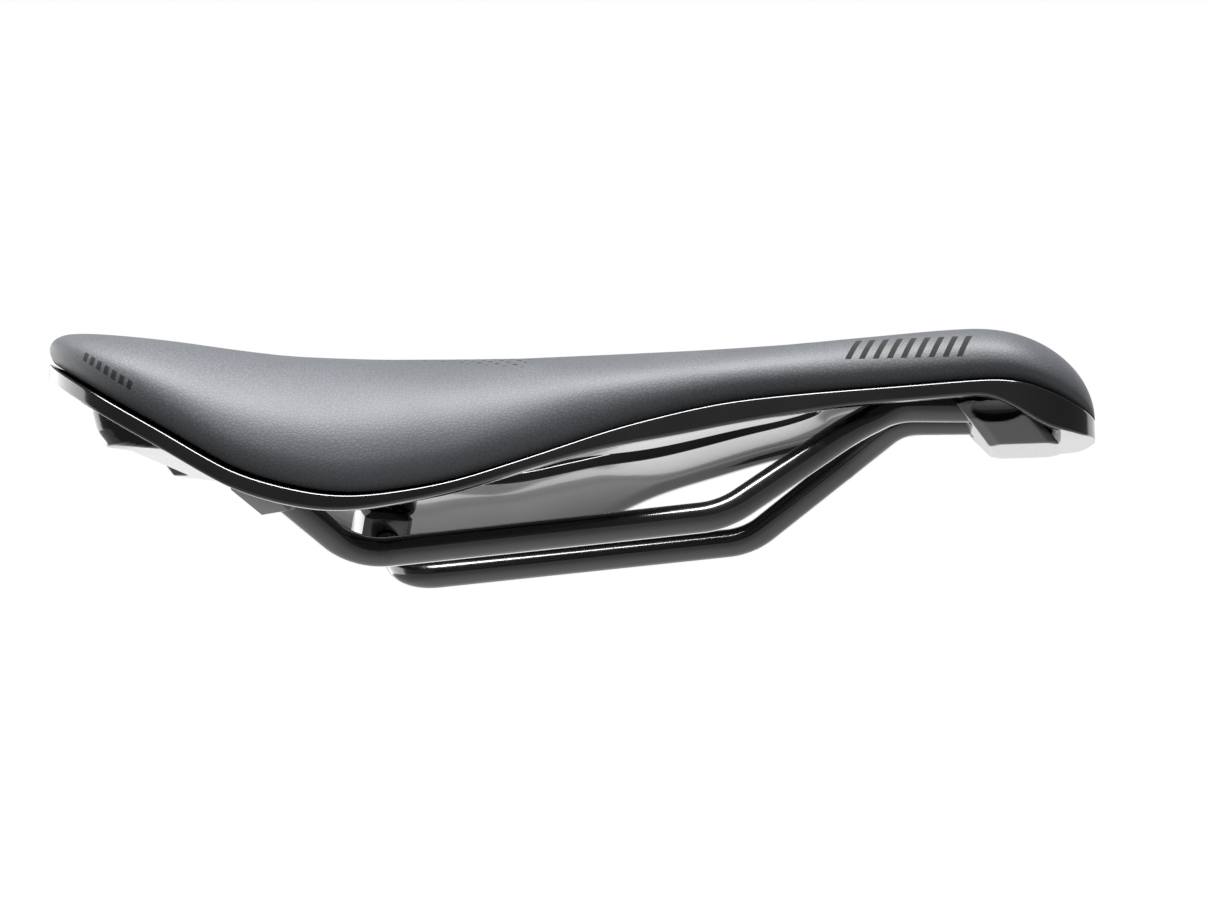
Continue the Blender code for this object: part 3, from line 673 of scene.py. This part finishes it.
mount_plastic = gloss_plastic("mount_plastic", (0.005, 0.005, 0.005), 0.17, 0.10)
mount = whole_copy("accessory_mount", "tail_mount_block")
apply_modifier(mount, "REMESH", mode="VOXEL", voxel_size=MOUNT_GRID)
apply_modifier(mount, "SMOOTH", factor=0.5, iterations=6)
for vert in mount.data.vertices:
    out = min(max((abs(vert.co.y) - CHEEK_IN) / (CHEEK_OUT - CHEEK_IN), 0.0), 1.0)
    behind = 1.0 - smooth_step(vert.co.x - curve_value(CHEEK_REAR, vert.co.z), 0.0, CHEEK_REACH)
    vert.co.x += behind * (CHEEK_OUT - CHEEK_IN) * (1.0 - math.sqrt(1.0 - out ** 2))
shade_by_angle(mount, 60)
mount_plastic.put_on(mount)
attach(mount, "root")
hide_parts("accessory_mount")

brass = Finish("insert_brass", {"Metallic": 1.0})
place = brass.place()
turning = brass.noise(place, 900.0, 2.0)
brass.feed(Base_Color=brass.mixed(turning, (0.52, 0.36, 0.14, 1.0), (0.62, 0.45, 0.20, 1.0)),
           Roughness=brass.between(turning, 0.3, 0.7, 0.28, 0.42))
brass.bump(turning, 0.15, 0.0001)

oxide = Finish("screw_oxide", {"Metallic": 1.0})
place = oxide.place()
mottle = oxide.noise(place, 700.0, 4.0)
oxide.feed(Base_Color=oxide.mixed(mottle, (0.035, 0.035, 0.038, 1.0), (0.075, 0.075, 0.080, 1.0)),
           Roughness=oxide.between(mottle, 0.3, 0.7, 0.30, 0.45))
oxide.bump(mottle, 0.12, 0.0001)

for word in ("left", "right"):
    brass.put_on(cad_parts["insert_" + word])
    screw = refined_copy("screw_" + word, "cap_screw_" + word, 0.0002, 40)
    oxide.put_on(screw)
    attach(screw, "root")
    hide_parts("screw_" + word)


# ================================================================ floor, light and camera
# A plain pale floor well below the saddle. A soft light hangs close above, on the camera's side, a wall of
# light stands behind, and a weaker one beyond the tail. The camera is a little below, ahead of the middle.

FLOOR_Z, FLOOR_SIZE = -0.90, 50.0
ROOM_GLOW = 0.12              # how strongly the white room lights the saddle
deselect_all()
bpy.ops.mesh.primitive_plane_add(size=FLOOR_SIZE, location=(0.0, 0.0, FLOOR_Z))
floor = bpy.context.object
floor.name = "floor"
floor_paint = Finish("floor_paint", {"Base Color": (0.70, 0.70, 0.70, 1.0), "Roughness": 0.85,
                                      "Emission Color": (1.0, 1.0, 1.0, 1.0), "Emission Strength": 0.38})
floor_paint.put_on(floor)

# The room is white where it is seen directly, and lights the saddle only weakly.
surroundings = bpy.data.worlds.new("surroundings")
surroundings.use_nodes = True
room = surroundings.node_tree
sky = room.nodes["Background"]
sky.inputs["Color"].default_value = (1.0, 1.0, 1.0, 1.0)
seen = room.nodes.new("ShaderNodeLightPath")
level = room.nodes.new("ShaderNodeMapRange")
level.inputs["To Min"].default_value = ROOM_GLOW
level.inputs["To Max"].default_value = 1.0
room.links.new(seen.outputs["Is Camera Ray"], level.inputs["Value"])
room.links.new(level.outputs["Result"], sky.inputs["Strength"])
bpy.context.scene.world = surroundings
bpy.context.scene.view_settings.view_transform = "Standard"


def add_softbox(name, place, aim, watts, size):
    data = bpy.data.lights.new(name, "AREA")
    data.energy, data.shape, data.size, data.size_y = watts, "RECTANGLE", size[0], size[1]
    box = bpy.data.objects.new(name, data)
    bpy.context.scene.collection.objects.link(box)
    box.location = place
    box.rotation_euler = (Vector(aim) - Vector(place)).to_track_quat("-Z", "Y").to_euler()
    box.visible_camera = False


add_softbox("key", place=(0.00, -0.24, 0.52), aim=(0.01, 0.0, 0.02), watts=15.0, size=(0.60, 0.22))
add_softbox("wall", place=(0.00, 1.60, 0.10), aim=(0.0, 0.0, 0.10), watts=16.0, size=(3.6, 1.5))
add_softbox("side", place=(-1.00, 0.25, 0.12), aim=(-0.08, 0.0, 0.03), watts=7.0, size=(1.2, 0.6))

CAMERA_PLACE = Vector((0.1186, -0.5165, -0.0701))
AIM = Vector((0.0173, 0.0, 0.0225))
camera_data = bpy.data.cameras.new("camera")
camera_data.lens = 66.0
camera = bpy.data.objects.new("camera", camera_data)
bpy.context.scene.collection.objects.link(camera)
camera.location = CAMERA_PLACE
camera.rotation_euler = (AIM - CAMERA_PLACE).to_track_quat("-Z", "Y").to_euler()
bpy.context.scene.camera = camera
